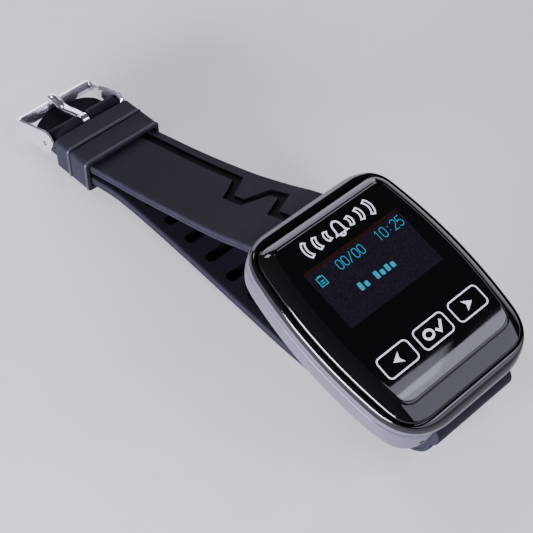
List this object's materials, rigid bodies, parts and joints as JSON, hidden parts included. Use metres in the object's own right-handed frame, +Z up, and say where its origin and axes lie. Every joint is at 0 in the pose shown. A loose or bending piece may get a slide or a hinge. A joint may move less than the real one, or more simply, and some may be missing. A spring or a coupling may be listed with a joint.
{
  "type": "wrist pager",
  "caption": "Wristwatch-style pager: gloss black case with a small screen and touch keys, rubber strap folded back, two keepers and a chrome tongue buckle.",
  "frame": {"origin": "centre of the plan of the whole pager, on the surface it lies on", "axes": "+Z up from the surface, +Y along the strap from the case to the buckle, +X across the strap to the reader's right"},
  "size_m": [0.04, 0.1302, 0.0315],
  "materials": {
    "gloss_black": "mirror-gloss black moulding",
    "case_plastic": "fine satin dark grey moulding",
    "strap_rubber": "fine matte black silicone rubber",
    "chrome": "polished chrome plate",
    "steel": "satin steel",
    "display_glass": "dark display glass",
    "touch_film": "amber polyimide film",
    "circuit_board": "green solder mask",
    "chip_resin": "moulded black resin",
    "battery_pouch": "laminated foil",
    "copper_wire": "enamelled copper wire",
    "gold_plate": "gold plate",
    "seal_rubber": "dull seal rubber"
  },
  "bodies": {
    "pager_body": {"bezel": "gloss_black", "lens_cover": "gloss_black", "mid_case": "case_plastic", "back_cover": "case_plastic", "case_gasket": "seal_rubber", "back_screw_1": "steel", "back_screw_2": "steel", "back_screw_3": "steel", "back_screw_4": "steel", "oled_display": "display_glass", "touch_sensor": "touch_film", "display_holder": "case_plastic", "main_pcb": "circuit_board", "radio_shield": "steel", "processor_chip": "chip_resin", "battery": "battery_pouch", "vibration_motor": "steel", "antenna_coil": "copper_wire", "charge_contact_left": "gold_plate", "charge_contact_right": "gold_plate", "upper_spring_bar": "steel", "lower_spring_bar": "steel", "buckle_strap": "strap_rubber", "hole_strap": "strap_rubber", "fixed_keeper": "strap_rubber"},
    "sliding_keeper": {"sliding_keeper": "strap_rubber"},
    "buckle": {"buckle_frame": "chrome", "buckle_spring_bar": "steel"},
    "tongue": {"buckle_tongue": "chrome"}
  },
  "joints": [
    {"name": "keeper_slide", "type": "slide", "parent": "pager_body", "child": "sliding_keeper", "axis": [0, 1, 0], "range_m": [-0.0012, 0]},
    {"name": "buckle_swing", "type": "hinge", "parent": "pager_body", "child": "buckle", "pos_m": [0, 0.05157, 0.0058], "axis": [1, 0, 0], "range_deg": [0, 80]},
    {"name": "tongue_swing", "type": "hinge", "parent": "buckle", "child": "tongue", "pos_m": [0, 0.05157, 0.0058], "axis": [1, 0, 0], "range_deg": [0, 35]}
  ]
}
